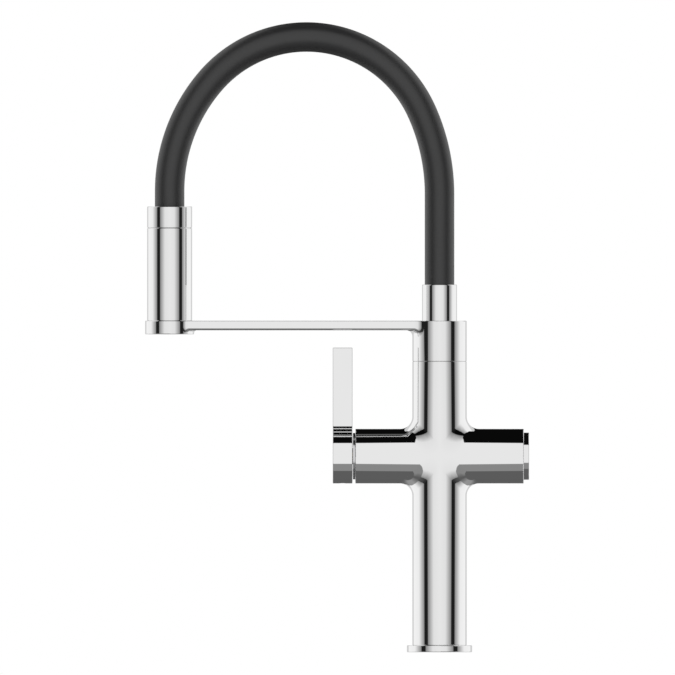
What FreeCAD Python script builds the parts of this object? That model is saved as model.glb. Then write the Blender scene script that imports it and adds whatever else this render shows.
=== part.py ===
import FreeCAD, Part
import math
import os
import re
import Sketcher

# Pull-down kitchen mixer: a cross-shaped body on a round base, an upright blade lever on the left,
# a push button on the right, a swivelling docking arm, an arched hose and a round hand spray.
# The origin is the centre of the base on the worktop, +Z is up and the arm points to -X at rest.

os.makedirs("parts", exist_ok=True)
doc = FreeCAD.newDocument("pull_down_mixer")
sheet = doc.addObject("Spreadsheet::Sheet", "dims")

# Driving sizes in mm
sizes = {
    # fits and finishes that many pieces share
    "snug_gap": 0.05,
    "loose_gap": 0.1,
    "running_gap": 0.3,
    "drill_overrun": 1,
    "edge_round": 0.5,
    # body and base
    "post_diameter": 40.5,
    "crossbar_length": 125.4,
    "crossbar_height": 145.8,
    "cross_fillet": 9,
    "base_diameter": 48.5,
    "base_height": 5,
    "gasket_width": 2.8,
    "gasket_height": 1.5,
    "lower_bore_diameter": 32,
    "bore_drop": 26,
    "neck_wall": 1.4,
    # inlets
    "inlet_recess": 0.5,
    "inlet_block_height": 16,
    "inlet_spread": 7,
    "inlet_thread": 9,
    "inlet_depth": 10,
    "inlet_wall": 1,
    "riser_diameter": 9,
    "riser_wall": 0.9,
    "riser_socket": 6,
    "fixing_spread": 10.5,
    "fixing_thread": 6,
    "fixing_depth": 12,
    # mixing cartridge
    "chamber_depth": 42.5,
    "socket_depth": 16.5,
    "cartridge_diameter": 28,
    "cartridge_clearance": 0.2,
    "cartridge_wall": 1.5,
    "seal_plate": 1,
    "seal_plate_inset": 0.3,
    "base_plate": 5,
    "disc_thickness": 4,
    "disc_play": 0.6,
    "mixing_diameter": 12,
    "mixing_depth": 2,
    "mixing_shift": 2.7,
    "spindle_flange": 4,
    "spindle_flange_play": 0.9,
    "spindle_diameter": 12,
    "spindle_play": 0.4,
    "flange_headroom": 0.5,
    "housing_height": 18,
    "neck_diameter": 18,
    "neck_height": 9,
    "nut_ring_diameter": 34.5,
    "nut_ring_proud": 1.7,
    "port_diameter": 6,
    "port_lip": 0.4,
    "port_spread": 4.5,
    "port_rise": 8,
    # lever
    "lever_gap": 2,
    "lever_depth": 14.8,
    "lever_headroom": 13,
    "lever_thickness": 5.5,
    "lever_fillet": 7.5,
    "lever_wall": 3.4,
    "grub_diameter": 4.8,
    "grub_length": 8,
    "key_diameter": 2.4,
    "key_depth": 2.5,
    "plug_thickness": 2,
    "plug_recess": 0.3,
    # push button and its valve
    "button_diameter": 35,
    "button_proud": 4,
    "button_skirt": 8,
    "button_face": 3.5,
    "button_wall": 2,
    "button_clearance": 0.3,
    "hub_wall": 2.5,
    "hub_relief": 1,
    "valve_stem_diameter": 10,
    "stem_socket": 1,
    "stem_fit": 0.03,
    "stem_clearance": 0.08,
    "valve_floor": 6,
    "valve_flange": 3,
    "valve_pocket_diameter": 16,
    "valve_pocket_depth": 9,
    "poppet_diameter": 14,
    "poppet_rise": 2,
    "poppet_thickness": 4,
    "seal_seat": 2,
    "bellows_diameter": 25,
    "bellows_fold": 3,
    "bellows_wall": 0.9,
    "bellows_folds": 3,
    # swivel
    "swivel_height": 216.5,
    "seam_gap": 0.3,
    "seam_round": 0.25,
    "spigot_diameter": 29,
    "spigot_height": 24,
    "spigot_headroom": 1,
    "spigot_bore": 16,
    "spigot_floor": 2,
    "swivel_clearance": 0.08,
    "seal_thickness": 1.7,
    "seal_bevel": 0.3,
    "seal_sink": 0.2,
    "seal_groove_width": 2.6,
    "seal_groove_depth": 1.9,
    "lower_seal_rise": 5,
    "screw_rise": 12,
    "upper_seal_rise": 19,
    "screw_groove_width": 4.8,
    "screw_groove_depth": 1.6,
    "screw_tip_diameter": 3.4,
    "screw_recess": 0.8,
    "glide_gap": 0.2,
    "glide_inset": 0.5,
    # docking arm
    "collar_height": 30,
    "arm_reach": 200.8,
    "arm_width": 28.8,
    "arm_thickness": 7,
    "arm_flare": 12.5,
    "arm_fillet": 4.5,
    "arm_edge": 2,
    "ring_diameter": 36.5,
    "ring_height": 10,
    "ring_flare": 8,
    "ring_land": 1,
    "dock_lip": 2.15,
    "dock_ledge": 1.5,
    "liner_wall": 1.45,
    "liner_sink": 0.2,
    # hose
    "ferrule_diameter": 26,
    "ferrule_height": 26.9,
    "hose_diameter": 21.9,
    "sleeve_wall": 3.2,
    "hose_inner_diameter": 15,
    "hose_bore": 12.2,
    "hose_left_leg": 13,
    "hose_crown_ease": 6.25,
    "hose_crown_shift": 1.25,
    "hose_right_ease": 51.75,
    "hose_left_ease": 22.25,
    "hose_grip": 0.1,
    "nipple_diameter": 16.8,
    "tail_diameter": 11.8,
    "tail_bore": 8,
    "tail_length": 21,
    "tail_shoulder": 2.5,
    "shoulder_inset": 0.4,
    "barb_count": 3,
    "barb_start": 1,
    "barb_pitch": 6,
    "barb_depth": 0.8,
    # hand spray
    "spray_diameter": 33.5,
    "spray_wall": 2,
    "shell_height": 68.95,
    "shell_roof": 4,
    "spray_groove": 0.3,
    "slip_inset": 0.7,
    "spray_collar_height": 15.75,
    "collar_floor": 1.2,
    "stem_diameter": 12,
    "stem_length": 21,
    "stem_flange": 3,
    "stem_flange_diameter": 15,
    "stem_play": 0.5,
    "nut_diameter": 20,
    "nut_sink": 0.2,
    "nut_relief": 1,
    "core_bore": 6,
    "core_floor": 2,
    "core_pocket": 6,
    "check_valve_diameter": 8.8,
    "check_valve_bore": 5,
    "check_valve_length": 14,
    "nose_clearance": 0.6,
    "nose_rise": 0.3,
    "nose_neck": 11.5,
    "nose_length": 25.5,
    "nose_wall": 2,
    "nose_ledge": 2,
    "face_thickness": 3,
    "face_recess": 0.4,
    "flow_disc_thickness": 1,
    "flow_hole": 3,
    "nozzle_diameter": 1.3,
    "nozzle_drop": 0.6,
    "nozzle_root": 1,
    "inner_nozzle_ring": 8,
    "outer_nozzle_ring": 17,
}
for row, (alias, size) in enumerate(sizes.items(), start=1):
    sheet.set("A%d" % row, alias)
    sheet.set("B%d" % row, str(size))
    sheet.setAlias("B%d" % row, alias)
doc.recompute()

# Lengths that several pieces share, written in the words of the sheet
POST_RADIUS = "(post_diameter / 2)"
BAR_HALF = "crossbar_length / 2"
NECK_RADIUS = "(lower_bore_diameter / 2 + neck_wall)"
BORE_TOP = "(crossbar_height - bore_drop)"
CHAMBER_RADIUS = "(cartridge_diameter / 2 + cartridge_clearance)"
CHAMBER_START = "(crossbar_length / 2 - chamber_depth)"
COLLAR_TOP = "(swivel_height + collar_height)"
RING_FOOT = "(swivel_height + collar_height - ring_height)"
DOCK_RADIUS = "(spray_diameter / 2 - dock_lip)"
SHELL_TOP = "(swivel_height + collar_height + shell_height)"
SPRAY_COLLAR = "(swivel_height + collar_height + shell_height + spray_groove)"
SPRAY_TOP = "(swivel_height + collar_height + shell_height + spray_groove + spray_collar_height)"
HOSE_START = "(swivel_height + collar_height + tail_shoulder)"
HOSE_END = "(swivel_height + collar_height + shell_height + spray_groove + collar_floor + tail_shoulder)"

UP = FreeCAD.Rotation()
LEFT = FreeCAD.Rotation(FreeCAD.Vector(0, 1, 0), -90)
RIGHT = FreeCAD.Rotation(FreeCAD.Vector(0, 1, 0), 90)
BACK = FreeCAD.Rotation(FreeCAD.Vector(1, 0, 0), -90)
DOWN = FreeCAD.Rotation(FreeCAD.Vector(1, 0, 0), 180)
ABOUT = FreeCAD.Rotation(FreeCAD.Vector(0, 0, 1), 180)

NEAR = 0.01
pieces = []


def bound(words):
    return re.sub(r"[a-z]\w*", lambda word: "dims." + word.group(), words)


def number(words):
    return float(sheet.evalExpression(bound(words)))


def place(item, x, y, z, turn):
    item.Placement = FreeCAD.Placement(FreeCAD.Vector(), turn)
    for axis, words in (("x", x), ("y", y), ("z", z)):
        if words != "0":
            item.setExpression("Placement.Base." + axis, bound(words))


def new_body(label, x="0", y="0", z="0", turn=UP):
    body = doc.addObject("PartDesign::Body", label)
    body.Label = label
    place(body, x, y, z, turn)
    pieces.append(body)
    return body


def new_sketch(body, role, lift="0"):
    sketch = body.newObject("Sketcher::SketchObject", body.Name + "_sketch")
    plane = [item for item in body.Origin.OriginFeatures if item.Role == role][0]
    sketch.AttachmentSupport = [(plane, "")]
    sketch.MapMode = "FlatFace"
    if lift != "0":
        sketch.setExpression("AttachmentOffset.Base.z", bound(lift))
    return sketch


def hold(sketch, geometry, point, x=None, y=None):
    # ties one point to the sketch origin by bound distances
    for kind, own_axis, words in (("DistanceX", -2, x), ("DistanceY", -1, y)):
        if words is None:
            continue
        if words == "0":
            sketch.addConstraint(Sketcher.Constraint("PointOnObject", geometry, point, own_axis))
            continue
        size = number(words)
        ends = (-1, 1, geometry, point) if size > 0 else (geometry, point, -1, 1)
        index = sketch.addConstraint(Sketcher.Constraint(kind, *ends, abs(size)))
        sketch.setExpression("Constraints[%d]" % index, bound(words if size > 0 else "-(%s)" % words))


def outline(body, role, corners, lift="0"):
    # closed figure of straight sides through the corners
    sketch = new_sketch(body, role, lift)
    spots = [FreeCAD.Vector(number(x), number(y), 0) for x, y in corners]
    for index, spot in enumerate(spots):
        sketch.addGeometry(Part.LineSegment(spot, spots[(index + 1) % len(spots)]))
    for index, (x, y) in enumerate(corners):
        following = (index + 1) % len(corners)
        sketch.addConstraint(Sketcher.Constraint("Coincident", index, 2, following, 1))
        hold(sketch, index, 1, x, y)
    return sketch


def circles(body, role, diameters, lift="0"):
    # circles about the sketch origin
    sketch = new_sketch(body, role, lift)
    for diameter in diameters:
        ring = Part.Circle(FreeCAD.Vector(), FreeCAD.Vector(0, 0, 1), number(diameter) / 2)
        circle = sketch.addGeometry(ring)
        index = sketch.addConstraint(Sketcher.Constraint("Diameter", circle, number(diameter)))
        sketch.setExpression("Constraints[%d]" % index, bound(diameter))
        hold(sketch, circle, 3, "0", "0")
    return sketch


def revolve(body, corners):
    # corners are (radius, height) along the piece's own axis
    sketch = outline(body, "XZ_Plane", corners)
    solid = body.newObject("PartDesign::Revolution", body.Name + "_turning")
    solid.Profile = sketch
    solid.ReferenceAxis = (sketch, ["V_Axis"])
    solid.Angle = 360


def turned(label, corners, x="0", y="0", z="0", turn=UP):
    body = new_body(label, x, y, z, turn)
    revolve(body, corners)
    return body


def cylinder(body, radius, height, x="0", y="0", z="0", turn=UP):
    solid = body.newObject("PartDesign::AdditiveCylinder", body.Name + "_cylinder")
    place(solid, x, y, z, turn)
    solid.setExpression("Radius", bound(radius))
    solid.setExpression("Height", bound(height))
    return solid


def drill(body, radius, depth, x="0", y="0", z="0", turn=UP):
    hole = body.newObject("PartDesign::SubtractiveCylinder", body.Name + "_hole")
    place(hole, x, y, z, turn)
    hole.setExpression("Radius", bound(radius))
    hole.setExpression("Height", bound(depth))
    return hole


def pad(body, sketch, length):
    solid = body.newObject("PartDesign::Pad", body.Name + "_pad")
    solid.Profile = sketch
    solid.setExpression("Length", bound(length))
    return solid


def round_edges(body, size, chosen):
    doc.recompute()
    base = body.Tip
    names = ["Edge%d" % (index + 1) for index, edge in enumerate(base.Shape.Edges) if chosen(edge)]
    solid = body.newObject("PartDesign::Fillet", body.Name + "_round")
    solid.Base = (base, names)
    solid.setExpression("Radius", bound(size))
    doc.recompute()


def rims(*places):
    # picks the circular edges with these (radius, height) along the piece's own axis
    wanted = [(number(radius), number(height)) for radius, height in places]

    def chosen(edge):
        if edge.Curve.TypeId != "Part::GeomCircle":
            return False
        centre = edge.Curve.Center
        return any(abs(edge.Curve.Radius - radius) < NEAR and abs(centre.z - height) < NEAR
                   for radius, height in wanted)

    return chosen


def on_cylinder(edge, centre_x, radius):
    return all(abs(math.hypot(spot.x - centre_x, spot.y) - radius) < NEAR for spot in edge.discretize(7))


# Base ring and gasket, with the gasket's groove midway across the ring's foot
RING_BORE = NECK_RADIUS + " + loose_gap"
GROOVE_MIDDLE = "(base_diameter / 2 + lower_bore_diameter / 2 + neck_wall + loose_gap) / 2"
base_ring = turned("base_ring", [
    (RING_BORE, "0"),
    (GROOVE_MIDDLE + " - gasket_width / 2", "0"),
    (GROOVE_MIDDLE + " - gasket_width / 2", "gasket_height"),
    (GROOVE_MIDDLE + " + gasket_width / 2", "gasket_height"),
    (GROOVE_MIDDLE + " + gasket_width / 2", "0"),
    ("base_diameter / 2", "0"),
    ("base_diameter / 2", "base_height"),
    (RING_BORE, "base_height"),
])
round_edges(base_ring, "edge_round", rims(("base_diameter / 2", "base_height"), ("base_diameter / 2", "0")))

turned("base_gasket", [
    (GROOVE_MIDDLE + " - gasket_width / 2 + loose_gap", "0"),
    (GROOVE_MIDDLE + " + gasket_width / 2 - loose_gap", "0"),
    (GROOVE_MIDDLE + " + gasket_width / 2 - loose_gap", "gasket_height"),
    (GROOVE_MIDDLE + " - gasket_width / 2 + loose_gap", "gasket_height"),
])

# Inlet block in the foot of the post, and the two risers
RISER_FOOT = "(inlet_depth + inlet_wall)"
inlet_block = turned("inlet_block", [
    ("0", "0"),
    (NECK_RADIUS, "0"),
    (NECK_RADIUS, "inlet_recess"),
    ("lower_bore_diameter / 2 - snug_gap", "inlet_recess"),
    ("lower_bore_diameter / 2 - snug_gap", "inlet_block_height"),
    ("0", "inlet_block_height"),
])
for side in ("inlet_spread", "-inlet_spread"):
    drill(inlet_block, "inlet_thread / 2", "inlet_depth", y=side)
    drill(inlet_block, "riser_diameter / 2 - riser_wall", "inlet_block_height", y=side)
    drill(inlet_block, "riser_diameter / 2 + snug_gap", "inlet_block_height", y=side, z=RISER_FOOT)
for side in ("fixing_spread", "-fixing_spread"):
    drill(inlet_block, "fixing_thread / 2", "fixing_depth", x=side)

for label, side in (("cold_riser", "-inlet_spread"), ("hot_riser", "inlet_spread")):
    turned(label, [
        ("riser_diameter / 2 - riser_wall", RISER_FOOT),
        ("riser_diameter / 2", RISER_FOOT),
        ("riser_diameter / 2", BORE_TOP + " + riser_socket"),
        ("riser_diameter / 2 - riser_wall", BORE_TOP + " + riser_socket"),
    ], y=side)

# Cross-shaped body: post and crossbar of one diameter, blended in the corners, with the swivel spigot on top
post_radius = number(POST_RADIUS)
corner_radius = number("cross_fillet")
hub = FreeCAD.Vector(0, 0, number("crossbar_height"))
bar_end = number(BAR_HALF)


def joins(edge, ends):
    return all(min(corner.Point.distanceToPoint(spot) for spot in ends) < NEAR for corner in edge.Vertexes)


def corner_block():
    # one eighth of the hub: its skin is the corner's arc carried along the ellipse where post and bar meet
    side, top = hub + FreeCAD.Vector(corner_radius, 0, 0), hub + FreeCAD.Vector(0, 0, corner_radius)
    front, middle = FreeCAD.Vector(0, -post_radius, 0), FreeCAD.Vector(post_radius, 0, post_radius)
    weights = [1, math.sqrt(0.5), 1]
    skin = Part.BSplineSurface()
    skin.buildFromPolesMultsKnots(
        [[spot + step for step in (front, front + middle, middle)] for spot in (side, hub, top)],
        [3, 3], [3, 3], [0, 1], [0, 1], False, False, 2, 2,
        [[one * other for other in weights] for one in weights])
    patch = skin.toShape()

    def flat(*corners):
        # plane face through the corners, along the skin's own edges where it has them
        sides = []
        for ends in zip(corners, corners[1:] + corners[:1]):
            shared = [edge for edge in patch.Edges if joins(edge, ends)]
            sides.append(shared[0] if shared else Part.makeLine(*ends))
        return Part.Face(Part.Wire(sides))

    block = Part.Solid(Part.Shell([
        patch,
        flat(hub + front, side + front, top + front),
        flat(hub, side, side + middle, top + middle, top),
        flat(side, side + front, side + middle),
        flat(top, top + front, top + middle),
        flat(hub, hub + front, side + front, side),
        flat(hub, hub + front, top + front, top),
    ]))
    if block.Volume < 0:
        block.reverse()
    return block


def stub(length, turn):
    # round bar that leaves the hub, notched where the hub's corners rise beside it
    wide = post_radius + corner_radius
    high = corner_radius + wide
    corners = [(-wide, 0), (wide, 0), (wide, high), (0, corner_radius), (-wide, high), (-wide, 0)]
    rim = Part.makePolygon([FreeCAD.Vector(x, -wide, z) for x, z in corners])
    notch = Part.Face(rim).extrude(FreeCAD.Vector(0, 2 * wide, 0))
    bar = Part.makeCylinder(post_radius, length).cut(notch)
    bar.Placement = FreeCAD.Placement(hub, turn)
    return bar


blocks = [corner_block()]
for normal in (FreeCAD.Vector(1, 0, 0), FreeCAD.Vector(0, 1, 0), FreeCAD.Vector(0, 0, 1)):
    blocks += [block.mirror(hub, normal) for block in blocks]
stubs = [
    stub(number("swivel_height - seam_gap - crossbar_height"), UP),
    stub(number("crossbar_height - base_height"), DOWN),
    stub(bar_end, LEFT),
    stub(bar_end, RIGHT),
]
cross_blank = doc.addObject("Part::Feature", "cross_blank")
cross_blank.Shape = blocks[0].fuse(blocks[1:] + stubs).removeSplitter().Solids[0]


def bar_rim(edge):
    return (edge.Curve.TypeId == "Part::GeomCircle" and abs(edge.Curve.Radius - post_radius) < NEAR
            and abs(abs(edge.Curve.Center.x) - bar_end) < NEAR)


SPIGOT_FLOOR = "(crossbar_height + post_diameter / 2 + spigot_floor)"
SPIGOT_TOP = "(swivel_height + spigot_height)"
spigot_corners = [("0", SPIGOT_FLOOR), ("spigot_diameter / 2", SPIGOT_FLOOR)]
for rise, width, depth in (("lower_seal_rise", "seal_groove_width", "seal_groove_depth"),
                           ("screw_rise", "screw_groove_width", "screw_groove_depth"),
                           ("upper_seal_rise", "seal_groove_width", "seal_groove_depth")):
    low = "swivel_height + %s - %s / 2" % (rise, width)
    high = "swivel_height + %s + %s / 2" % (rise, width)
    spigot_corners.append(("spigot_diameter / 2", low))
    spigot_corners.append(("spigot_diameter / 2 - " + depth, low))
    spigot_corners.append(("spigot_diameter / 2 - " + depth, high))
    spigot_corners.append(("spigot_diameter / 2", high))
spigot_corners += [("spigot_diameter / 2", SPIGOT_TOP), ("0", SPIGOT_TOP)]

mixer_body = new_body("mixer_body")
mixer_body.BaseFeature = cross_blank
round_edges(mixer_body, "edge_round", bar_rim)
round_edges(mixer_body, "edge_round", rims((POST_RADIUS, "base_height")))
round_edges(mixer_body, "seam_round", rims((POST_RADIUS, "swivel_height - seam_gap")))
revolve(mixer_body, spigot_corners)
cylinder(mixer_body, NECK_RADIUS, "base_height", z="inlet_recess")
drill(mixer_body, "lower_bore_diameter / 2", BORE_TOP + " - inlet_recess", z="inlet_recess")
drill(mixer_body, "spigot_bore / 2", SPIGOT_TOP + " - " + SPIGOT_FLOOR, z=SPIGOT_FLOOR)
for side, turn, socket in (("-" + BAR_HALF, RIGHT, "nut_ring_diameter / 2 + loose_gap"),
                           (BAR_HALF, LEFT, "button_diameter / 2 + button_clearance")):
    drill(mixer_body, CHAMBER_RADIUS, "chamber_depth", x=side, z="crossbar_height", turn=turn)
    drill(mixer_body, socket, "socket_depth", x=side, z="crossbar_height", turn=turn)

# Waterways: hot and cold to the cartridge, mixed water to the push valve, then up into the spigot
LEFT_FLOOR = "-(crossbar_length / 2 - chamber_depth + drill_overrun)"
for side in ("inlet_spread", "-inlet_spread"):
    drill(mixer_body, "riser_diameter / 2 + snug_gap", "riser_socket", y=side, z=BORE_TOP)
    drill(mixer_body, "port_diameter / 2", "bore_drop + port_diameter / 2", y=side, z=BORE_TOP)
    drill(mixer_body, "port_diameter / 2", CHAMBER_START + " + drill_overrun",
          x=LEFT_FLOOR, y=side, z="crossbar_height", turn=RIGHT)
drill(mixer_body, "port_diameter / 2", "2 * (%s + drill_overrun)" % CHAMBER_START,
      x=LEFT_FLOOR, y="-port_spread", z="crossbar_height + port_rise", turn=RIGHT)
drill(mixer_body, "port_diameter / 2", CHAMBER_START + " + port_diameter / 2 + drill_overrun",
      x="-port_diameter / 2", y="port_spread", z="crossbar_height + port_rise", turn=RIGHT)
drill(mixer_body, "port_diameter / 2", "post_diameter / 2 + spigot_floor + drill_overrun - port_rise",
      y="port_spread", z="crossbar_height + port_rise")

# Mixing cartridge in the left arm of the crossbar, measured outward from the chamber floor
CARTRIDGE = {"x": "-" + CHAMBER_START, "z": "crossbar_height", "turn": LEFT}
DISC_RADIUS = "(cartridge_diameter / 2 - cartridge_wall)"
SEAL_TOP = "seal_plate"
BASE_TOP = "(seal_plate + base_plate)"
FIXED_TOP = "(seal_plate + base_plate + disc_thickness)"
MOVING_TOP = "(seal_plate + base_plate + 2 * disc_thickness)"
FLANGE_TOP = "(seal_plate + base_plate + 2 * disc_thickness + spindle_flange)"
HOUSING_TOP = "(seal_plate + base_plate + housing_height)"
SPINDLE_END = "(chamber_depth + lever_gap + lever_depth - lever_wall - loose_gap)"


def ports(body):
    for side in ("inlet_spread", "-inlet_spread"):
        drill(body, "port_diameter / 2 - port_lip", HOUSING_TOP, y=side)
    drill(body, "port_diameter / 2 - port_lip", HOUSING_TOP, x="port_rise", y="-port_spread")


for label, radius, low, high in (
        ("cartridge_seal", "cartridge_diameter / 2 - seal_plate_inset", "0", SEAL_TOP),
        ("cartridge_base", "cartridge_diameter / 2", SEAL_TOP, BASE_TOP),
        ("fixed_disc", DISC_RADIUS + " - loose_gap", BASE_TOP, FIXED_TOP)):
    ports(turned(label, [("0", low), (radius, low), (radius, high), ("0", high)], **CARTRIDGE))

moving_disc = turned("moving_disc", [
    ("0", FIXED_TOP),
    (DISC_RADIUS + " - disc_play", FIXED_TOP),
    (DISC_RADIUS + " - disc_play", MOVING_TOP),
    ("0", MOVING_TOP),
], **CARTRIDGE)
drill(moving_disc, "mixing_diameter / 2", "mixing_depth", x="mixing_shift", z=FIXED_TOP)

turned("cartridge_spindle", [
    ("0", MOVING_TOP),
    (DISC_RADIUS + " - spindle_flange_play", MOVING_TOP),
    (DISC_RADIUS + " - spindle_flange_play", FLANGE_TOP),
    ("spindle_diameter / 2", FLANGE_TOP),
    ("spindle_diameter / 2", SPINDLE_END),
    ("0", SPINDLE_END),
], **CARTRIDGE)

turned("cartridge_housing", [
    (DISC_RADIUS, BASE_TOP),
    ("cartridge_diameter / 2", BASE_TOP),
    ("cartridge_diameter / 2", HOUSING_TOP),
    ("neck_diameter / 2", HOUSING_TOP),
    ("neck_diameter / 2", HOUSING_TOP + " + neck_height"),
    ("spindle_diameter / 2 + spindle_play", HOUSING_TOP + " + neck_height"),
    ("spindle_diameter / 2 + spindle_play", FLANGE_TOP + " + flange_headroom"),
    (DISC_RADIUS, FLANGE_TOP + " + flange_headroom"),
], **CARTRIDGE)

turned("cartridge_nut", [
    ("neck_diameter / 2 + loose_gap", HOUSING_TOP),
    (CHAMBER_RADIUS + " - loose_gap", HOUSING_TOP),
    (CHAMBER_RADIUS + " - loose_gap", "chamber_depth - socket_depth"),
    ("nut_ring_diameter / 2", "chamber_depth - socket_depth"),
    ("nut_ring_diameter / 2", "chamber_depth + nut_ring_proud"),
    ("neck_diameter / 2 + loose_gap", "chamber_depth + nut_ring_proud"),
], **CARTRIDGE)

# Lever: a round cap in line with the crossbar and a flat upright blade that ends clear of the arm
LEVER_RISE = "(swivel_height + collar_height - arm_thickness - lever_headroom - crossbar_height)"
lever = new_body("lever_handle", x="-(crossbar_length / 2 + lever_gap)", z="crossbar_height", turn=LEFT)
cylinder(lever, POST_RADIUS, "lever_depth", turn=ABOUT)
pad(lever, outline(lever, "XY_Plane", [
    ("0", "-lever_thickness / 2"),
    (LEVER_RISE, "-lever_thickness / 2"),
    (LEVER_RISE, "lever_thickness / 2"),
    ("0", "lever_thickness / 2"),
]), "lever_depth")
blade_half = number("lever_thickness / 2")


def blade_root(edge):
    return (edge.Curve.TypeId == "Part::GeomLine" and on_cylinder(edge, 0, post_radius)
            and edge.CenterOfMass.x > 0 and abs(abs(edge.CenterOfMass.y) - blade_half) < NEAR)


def lever_rim(edge):
    return edge.Length > 1


round_edges(lever, "lever_fillet", blade_root)
round_edges(lever, "edge_round", lever_rim)
drill(lever, "spindle_diameter / 2 + snug_gap", "lever_depth - lever_wall")
drill(lever, "grub_diameter / 2 + loose_gap", POST_RADIUS,
      x="-" + POST_RADIUS, z="lever_depth / 2", turn=RIGHT)

# Lever screw, driven up from below against the spindle, and the plug under it
GRUB = {"x": "-(crossbar_length / 2 + lever_gap + lever_depth / 2)", "turn": DOWN}
turned("lever_grub_screw", [
    ("0", "0"),
    ("grub_diameter / 2", "0"),
    ("grub_diameter / 2", "grub_length"),
    ("key_diameter / 2", "grub_length"),
    ("key_diameter / 2", "grub_length - key_depth"),
    ("0", "grub_length - key_depth"),
], z="crossbar_height - spindle_diameter / 2", **GRUB)
turned("lever_plug", [
    ("0", "0"),
    ("grub_diameter / 2", "0"),
    ("grub_diameter / 2", "plug_thickness"),
    ("0", "plug_thickness"),
], z="crossbar_height - %s + plug_recess + plug_thickness" % POST_RADIUS, **GRUB)

# Push valve and button in the right arm of the crossbar, measured outward from the chamber floor
VALVE = {"x": CHAMBER_START, "z": "crossbar_height", "turn": RIGHT}
SEAT = "(chamber_depth - socket_depth)"
BUTTON_FRONT = "(chamber_depth + button_proud)"
BUTTON_BACK = "(chamber_depth + button_proud - button_face)"
STEM_END = "(chamber_depth + button_proud - button_face + stem_socket)"
STEM_RADIUS = "valve_stem_diameter / 2"
GLAND_RADIUS = "valve_stem_diameter / 2 + stem_clearance"
GROOVE_RADIUS = "valve_stem_diameter / 2 + seal_groove_depth"
POPPET = "(valve_floor + poppet_rise)"

turned("valve_body", [
    ("valve_pocket_diameter / 2", "valve_floor"),
    (CHAMBER_RADIUS + " - loose_gap", "valve_floor"),
    (CHAMBER_RADIUS + " - loose_gap", SEAT),
    ("button_diameter / 2", SEAT),
    ("button_diameter / 2", SEAT + " + valve_flange"),
    (GLAND_RADIUS, SEAT + " + valve_flange"),
    (GLAND_RADIUS, SEAT + " - seal_seat"),
    (GROOVE_RADIUS, SEAT + " - seal_seat"),
    (GROOVE_RADIUS, SEAT + " - seal_seat - seal_groove_width"),
    (GLAND_RADIUS, SEAT + " - seal_seat - seal_groove_width"),
    (GLAND_RADIUS, "valve_floor + valve_pocket_depth"),
    ("valve_pocket_diameter / 2", "valve_floor + valve_pocket_depth"),
], **VALVE)

turned("valve_stem", [
    ("0", POPPET),
    ("poppet_diameter / 2", POPPET),
    ("poppet_diameter / 2", POPPET + " + poppet_thickness"),
    (STEM_RADIUS, POPPET + " + poppet_thickness"),
    (STEM_RADIUS, STEM_END),
    ("0", STEM_END),
], **VALVE)

button = turned("push_button", [
    ("0", STEM_END),
    (STEM_RADIUS + " + stem_fit", STEM_END),
    (STEM_RADIUS + " + stem_fit", BUTTON_FRONT + " - button_skirt + hub_relief"),
    (STEM_RADIUS + " + hub_wall", BUTTON_FRONT + " - button_skirt + hub_relief"),
    (STEM_RADIUS + " + hub_wall", BUTTON_BACK),
    ("button_diameter / 2 - button_wall", BUTTON_BACK),
    ("button_diameter / 2 - button_wall", BUTTON_FRONT + " - button_skirt"),
    ("button_diameter / 2", BUTTON_FRONT + " - button_skirt"),
    ("button_diameter / 2", BUTTON_FRONT),
    ("0", BUTTON_FRONT),
], **VALVE)
round_edges(button, "edge_round", rims(("button_diameter / 2", BUTTON_FRONT)))

# Rubber bellows that push the button back out
BELLOWS_STEP = "(button_proud + socket_depth - valve_flange - button_face) / (2 * bellows_folds)"
outer_side = []
inner_side = []
for step in range(2 * round(number("bellows_folds")) + 1):
    radius = "bellows_diameter / 2" if step % 2 else "bellows_diameter / 2 - bellows_fold"
    level = "%s + valve_flange + %d * %s" % (SEAT, step, BELLOWS_STEP)
    outer_side.append((radius, level))
    inner_side.append((radius + " - bellows_wall", level))
turned("button_bellows", outer_side + inner_side[::-1], **VALVE)


def seal_ring(label, inner, outer, x="0", z="0", turn=UP):
    # square ring with bevelled corners, centred on its own origin
    half = "seal_thickness / 2"
    turned(label, [
        (inner, half + " - seal_bevel"),
        (inner, "seal_bevel - " + half),
        (inner + " + seal_bevel", "-" + half),
        (outer + " - seal_bevel", "-" + half),
        (outer, "seal_bevel - " + half),
        (outer, half + " - seal_bevel"),
        (outer + " - seal_bevel", half),
        (inner + " + seal_bevel", half),
    ], x=x, z=z, turn=turn)


seal_ring("valve_stem_seal", STEM_RADIUS + " + running_gap", GROOVE_RADIUS,
          x="crossbar_length / 2 - socket_depth - seal_seat - seal_groove_width / 2",
          z="crossbar_height", turn=RIGHT)

# Swivel: seals on the spigot and the glide ring in the seam
for label, rise in (("swivel_seal_lower", "lower_seal_rise"), ("swivel_seal_upper", "upper_seal_rise")):
    seal_ring(label, "spigot_diameter / 2 - seal_groove_depth", "spigot_diameter / 2 - seal_sink",
              z="swivel_height + " + rise)

turned("glide_ring", [
    ("spigot_diameter / 2 + glide_gap", "swivel_height - seam_gap"),
    (POST_RADIUS + " - glide_inset", "swivel_height - seam_gap"),
    (POST_RADIUS + " - glide_inset", "swivel_height"),
    ("spigot_diameter / 2 + glide_gap", "swivel_height"),
])

# Docking arm: swivel collar, flat arm and dock ring, blended where they meet
collar_top = number(COLLAR_TOP)
arm_low = number(COLLAR_TOP + " - arm_thickness")
ring_low = number(RING_FOOT)
reach = number("arm_reach")
ring_radius = number("ring_diameter / 2")


def primitive(kind, label, x="0", y="0", z="0", turn=UP, **lengths):
    item = doc.addObject(kind, label)
    place(item, x, y, z, turn)
    for name, words in lengths.items():
        item.setExpression(name, bound(words))
    return item


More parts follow.
